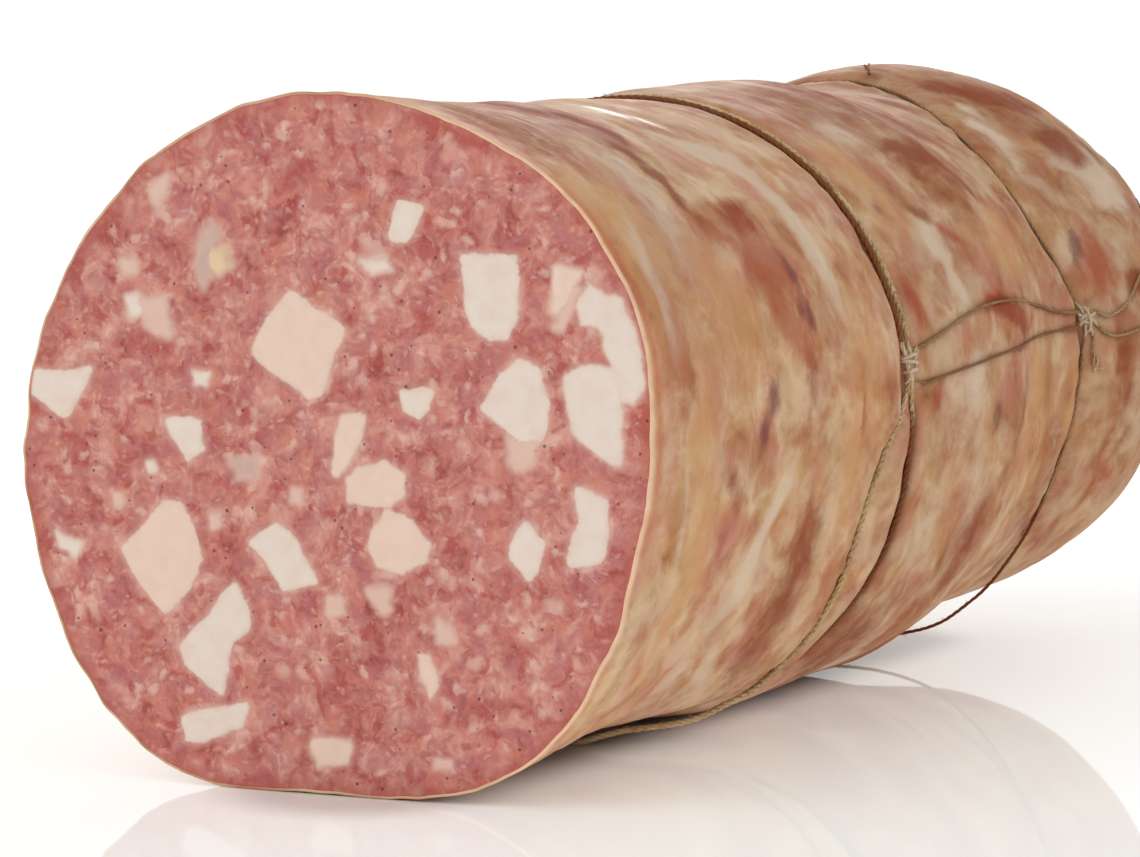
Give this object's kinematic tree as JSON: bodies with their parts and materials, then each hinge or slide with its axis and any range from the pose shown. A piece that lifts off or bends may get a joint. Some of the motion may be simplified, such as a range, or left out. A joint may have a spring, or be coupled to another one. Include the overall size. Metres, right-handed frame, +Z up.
{
  "type": "cooked salami",
  "caption": "Half of a large cooked salami lying on its side: flat cut face of mince and fat dice, casing tied with butcher's twine, gathered far end.",
  "frame": {"origin": "under the middle of the whole, on the surface that the salami rests on", "axes": "+Z up; the length runs along Y with the cut face towards -Y and the tied end towards +Y; +X is the side with the knots"},
  "size_m": [0.1102, 0.2578, 0.1108],
  "materials": {
    "casing": "moist natural casing over mince, mottled tan, pink and brown; the cut face is pink-red mince with pale fat dice",
    "twine": "twisted cotton butcher's twine, soaked tan and brown"
  },
  "bodies": {
    "root": {"salami": "casing", "twine_front_ring": "twine", "twine_rear_ring": "twine", "twine_back_ring": "twine", "twine_link_upper": "twine", "twine_link_lower": "twine", "twine_end_lower": "twine", "twine_end_upper": "twine", "twine_back_tail": "twine", "twine_top_nub": "twine", "twine_front_knot": "twine", "twine_back_knot": "twine", "twine_end_tie": "twine"}
  },
  "joints": []
}
